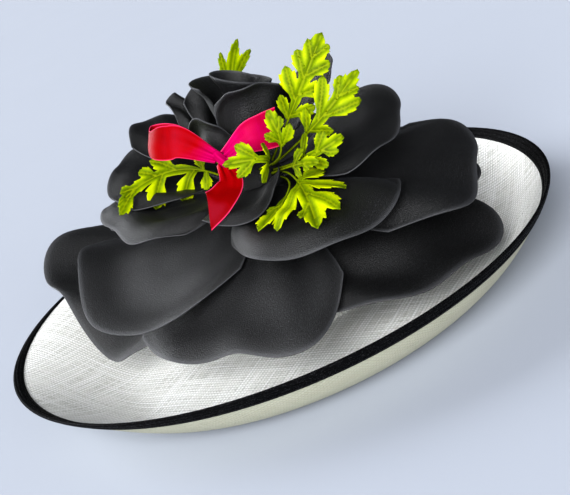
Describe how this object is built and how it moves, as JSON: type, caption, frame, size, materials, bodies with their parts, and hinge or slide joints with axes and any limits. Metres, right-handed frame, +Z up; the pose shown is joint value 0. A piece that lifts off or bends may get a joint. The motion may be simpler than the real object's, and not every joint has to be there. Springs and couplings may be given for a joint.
{
  "type": "wide-brim sinamay hat",
  "caption": "Wide-brim woven straw occasion hat with a turned-up bound edge, a large cloth rose over the crown, cut leaves and a satin ribbon bow.",
  "frame": {"origin": "middle of the brim's round footprint, on the surface that the hat rests on", "axes": "+Z up, +X to the wearer's front, +Y to the wearer's left"},
  "size_m": [0.6026, 0.6031, 0.2781],
  "materials": {
    "sinamay": "stiffened open diagonal straw weave, ivory, satin",
    "binding": "black woven braid folded over the edge",
    "petals": "charcoal black bonded satin with a soft sheen",
    "leaves": "lime green pressed cloth, veined, matt",
    "ribbon": "hot pink double-faced satin"
  },
  "bodies": {
    "root": {"brim": "sinamay", "crown": "sinamay", "edge_binding": "binding", "flower_heart": "petals", "bud_core": "petals", "petal_low_back_left": "petals", "petal_low_right": "petals", "petal_front": "petals", "petal_left": "petals", "petal_right_under": "petals", "petal_right": "petals", "petal_back": "petals", "petal_back_right": "petals", "petal_front_rolled": "petals", "petal_left_folded": "petals", "petal_back_inner": "petals", "petal_left_inner": "petals", "petal_back_left_inner": "petals", "petal_right_cup": "petals", "petal_inner_front": "petals", "petal_top_back": "petals", "petal_top_left": "petals", "bud_petal_left": "petals", "bud_petal_back": "petals", "bud_petal_front": "petals", "leaf_behind_bud": "leaves", "leaf_tall": "leaves", "leaf_right_tall": "leaves", "leaf_front_up": "leaves", "leaf_right": "leaves", "leaf_right_low": "leaves", "leaf_front_left": "leaves", "leaf_fan": "leaves", "leaf_narrow": "leaves", "leaf_left_spray": "leaves", "leaf_back_left": "leaves", "ribbon_loop": "ribbon", "ribbon_tail_up": "ribbon", "ribbon_tail_down": "ribbon", "ribbon_knot": "ribbon", "petal_back_left": "petals", "ribbon_pin": "petals"}
  },
  "joints": []
}
